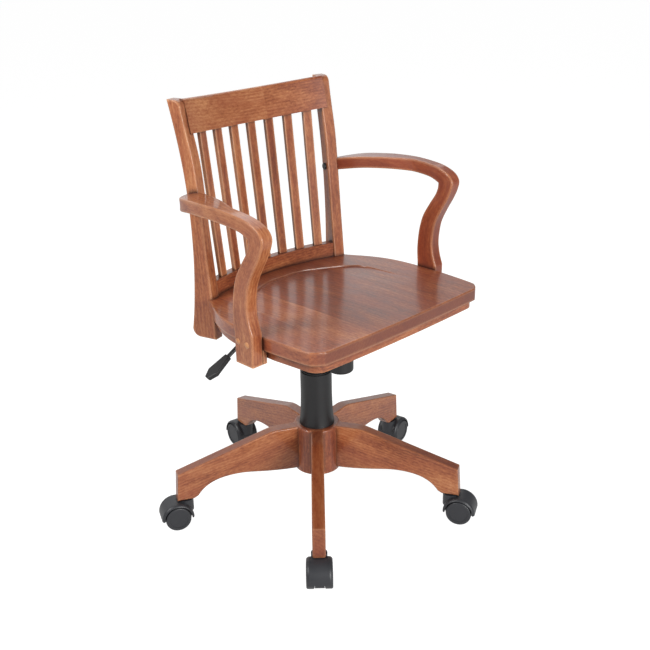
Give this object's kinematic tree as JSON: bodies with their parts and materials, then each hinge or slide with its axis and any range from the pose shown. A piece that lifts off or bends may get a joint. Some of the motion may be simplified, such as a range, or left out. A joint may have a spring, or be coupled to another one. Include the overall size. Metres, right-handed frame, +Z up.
{
  "type": "swivel armchair",
  "caption": "Wooden desk armchair with a slatted bent back, open arms and a dished seat on a tilting, height-adjustable swivel base with casters.",
  "frame": {"origin": "on the floor under the swivel axis", "axes": "+Z up; the chair faces -Y; +X is its right arm as seen by someone who stands in front of it"},
  "size_m": [0.6499, 0.6478, 0.8534],
  "materials": {
    "stained_wood": "stained hardwood, semi-gloss lacquer",
    "black_plastic": "moulded nylon, satin",
    "black_steel": "black powder coat",
    "zinc_steel": "zinc-plated steel",
    "grey_nylon": "natural nylon"
  },
  "bodies": {
    "base": {"base_hub": "stained_wood", "base_leg_1": "stained_wood", "base_leg_2": "stained_wood", "base_leg_3": "stained_wood", "base_leg_4": "stained_wood", "base_leg_5": "stained_wood", "caster_sockets": "zinc_steel", "lift_tube": "black_steel", "lift_bush": "grey_nylon", "cover_lower": "black_plastic"},
    "spindle": {"lift_rod": "zinc_steel"},
    "mechanism": {"lift_cylinder": "black_steel", "mech_housing": "black_steel", "cover_upper": "black_plastic", "tension_spring": "zinc_steel"},
    "middle_cover": {"cover_middle": "black_plastic"},
    "lever": {"lever_rod": "black_steel", "lever_paddle": "black_plastic"},
    "knob": {"tension_knob": "black_plastic", "tension_bolt": "zinc_steel"},
    "seat": {"seat_plate": "black_steel", "pivot_pin": "zinc_steel", "seat_bolts": "zinc_steel", "seat_panel": "stained_wood", "seat_underboard": "stained_wood", "back_post_left": "stained_wood", "back_post_right": "stained_wood", "crest_rail": "stained_wood", "lower_rail": "stained_wood", "slat_1": "stained_wood", "slat_2": "stained_wood", "slat_3": "stained_wood", "slat_4": "stained_wood", "slat_5": "stained_wood", "slat_6": "stained_wood", "slat_7": "stained_wood", "arm_left": "stained_wood", "arm_right": "stained_wood", "arm_plugs": "stained_wood", "frame_bolts": "zinc_steel"},
    "caster_1": {"caster_1_hood": "black_plastic", "caster_1_stem": "zinc_steel"},
    "wheel_1a": {"caster_1_wheel_a": "black_plastic"},
    "wheel_1b": {"caster_1_wheel_b": "black_plastic"},
    "caster_2": {"caster_2_hood": "black_plastic", "caster_2_stem": "zinc_steel"},
    "wheel_2a": {"caster_2_wheel_a": "black_plastic"},
    "wheel_2b": {"caster_2_wheel_b": "black_plastic"},
    "caster_3": {"caster_3_hood": "black_plastic", "caster_3_stem": "zinc_steel"},
    "wheel_3a": {"caster_3_wheel_a": "black_plastic"},
    "wheel_3b": {"caster_3_wheel_b": "black_plastic"},
    "caster_4": {"caster_4_hood": "black_plastic", "caster_4_stem": "zinc_steel"},
    "wheel_4a": {"caster_4_wheel_a": "black_plastic"},
    "wheel_4b": {"caster_4_wheel_b": "black_plastic"},
    "caster_5": {"caster_5_hood": "black_plastic", "caster_5_stem": "zinc_steel"},
    "wheel_5a": {"caster_5_wheel_a": "black_plastic"},
    "wheel_5b": {"caster_5_wheel_b": "black_plastic"}
  },
  "joints": [
    {"name": "swivel", "type": "hinge", "parent": "base", "child": "spindle", "pos_m": [0, 0, 0.09], "axis": [0, 0, 1], "continuous": true},
    {"name": "height", "type": "slide", "parent": "spindle", "child": "mechanism", "axis": [0, 0, 1], "range_m": [0, 0.1]},
    {"name": "cover_slide", "type": "slide", "parent": "base", "child": "middle_cover", "axis": [0, 0, 1], "range_m": [0, 0.05]},
    {"name": "tilt", "type": "hinge", "parent": "mechanism", "child": "seat", "pos_m": [0, 0.028, 0.418], "axis": [-1, 0, 0], "range_deg": [0, 15], "stiffness_Nm_per_rad": 60, "springref_deg": -17.19},
    {"name": "lever_lift", "type": "hinge", "parent": "mechanism", "child": "lever", "pos_m": [-0.04603, 0.00845, 0.405], "axis": [0.1805, 0.9836, 0], "range_deg": [0, 8], "stiffness_Nm_per_rad": 1, "springref_deg": -5.73},
    {"name": "tension_turn", "type": "hinge", "parent": "mechanism", "child": "knob", "pos_m": [0, -0.071, 0.345], "axis": [0, 0, 1], "continuous": true},
    {"name": "caster_1_swivel", "type": "hinge", "parent": "base", "child": "caster_1", "pos_m": [-0.1994, -0.20363, 0.06], "axis": [0, 0, 1], "continuous": true},
    {"name": "wheel_1a_roll", "type": "hinge", "parent": "caster_1", "child": "wheel_1a", "pos_m": [-0.2141, -0.21863, 0.026], "axis": [0.7145, -0.6997, 0], "continuous": true},
    {"name": "wheel_1b_roll", "type": "hinge", "parent": "caster_1", "child": "wheel_1b", "pos_m": [-0.2141, -0.21863, 0.026], "axis": [0.7145, -0.6997, 0], "continuous": true},
    {"name": "caster_2_swivel", "type": "hinge", "parent": "base", "child": "caster_2", "pos_m": [0.13204, -0.25257, 0.06], "axis": [0, 0, 1], "continuous": true},
    {"name": "wheel_2a_roll", "type": "hinge", "parent": "caster_2", "child": "wheel_2a", "pos_m": [0.14177, -0.27118, 0.026], "axis": [0.8862, 0.4633, 0], "continuous": true},
    {"name": "wheel_2b_roll", "type": "hinge", "parent": "caster_2", "child": "wheel_2b", "pos_m": [0.14177, -0.27118, 0.026], "axis": [0.8862, 0.4633, 0], "continuous": true},
    {"name": "caster_3_swivel", "type": "hinge", "parent": "base", "child": "caster_3", "pos_m": [0.28101, 0.04753, 0.06], "axis": [0, 0, 1], "continuous": true},
    {"name": "wheel_3a_roll", "type": "hinge", "parent": "caster_3", "child": "wheel_3a", "pos_m": [0.30172, 0.05103, 0.026], "axis": [-0.1668, 0.986, 0], "continuous": true},
    {"name": "wheel_3b_roll", "type": "hinge", "parent": "caster_3", "child": "wheel_3b", "pos_m": [0.30172, 0.05103, 0.026], "axis": [-0.1668, 0.986, 0], "continuous": true},
    {"name": "caster_4_swivel", "type": "hinge", "parent": "base", "child": "caster_4", "pos_m": [0.04163, 0.28194, 0.06], "axis": [0, 0, 1], "continuous": true},
    {"name": "wheel_4a_roll", "type": "hinge", "parent": "caster_4", "child": "wheel_4a", "pos_m": [0.0447, 0.30272, 0.026], "axis": [-0.9893, 0.1461, 0], "continuous": true},
    {"name": "wheel_4b_roll", "type": "hinge", "parent": "caster_4", "child": "wheel_4b", "pos_m": [0.0447, 0.30272, 0.026], "axis": [-0.9893, 0.1461, 0], "continuous": true},
    {"name": "caster_5_swivel", "type": "hinge", "parent": "base", "child": "caster_5", "pos_m": [-0.25528, 0.12672, 0.06], "axis": [0, 0, 1], "continuous": true},
    {"name": "wheel_5a_roll", "type": "hinge", "parent": "caster_5", "child": "wheel_5a", "pos_m": [-0.27409, 0.13606, 0.026], "axis": [-0.4446, -0.8957, 0], "continuous": true},
    {"name": "wheel_5b_roll", "type": "hinge", "parent": "caster_5", "child": "wheel_5b", "pos_m": [-0.27409, 0.13606, 0.026], "axis": [-0.4446, -0.8957, 0], "continuous": true}
  ],
  "couplings": [
    {"joint": "cover_slide", "follows": "height", "ratio": 0.5}
  ]
}
